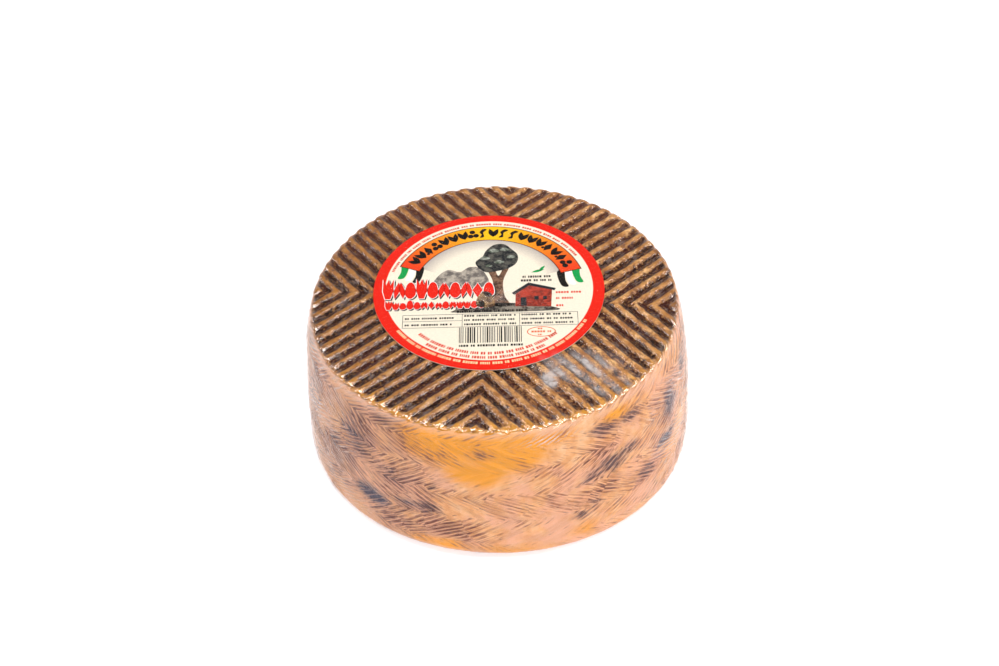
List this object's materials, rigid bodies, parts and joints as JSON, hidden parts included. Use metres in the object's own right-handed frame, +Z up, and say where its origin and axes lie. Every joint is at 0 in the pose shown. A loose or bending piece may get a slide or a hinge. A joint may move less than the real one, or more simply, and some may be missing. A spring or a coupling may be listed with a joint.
{
  "type": "goat cheese wheel",
  "caption": "Whole wheel of cured goat cheese with a herringbone relief on both faces, a plaited print round its side and a round paper label on top, in skin-tight clear film.",
  "frame": {"origin": "middle of the wheel's base, on the surface that it stands on", "axes": "+Z up through the wheel, -Y towards the front, where the label reads the right way up, +X to the right"},
  "size_m": [0.1614, 0.1586, 0.0708],
  "materials": {
    "rind": "golden brown natural rind with dark mould in the grooves, glossy under clear film",
    "label_paper": "coated label paper, cream with a red ring and simple coloured print, under clear film",
    "film": "thin clear vacuum film drawn tight over the wheel"
  },
  "bodies": {
    "root": {"cheese_wheel": "rind", "top_label": "label_paper"}
  },
  "joints": []
}
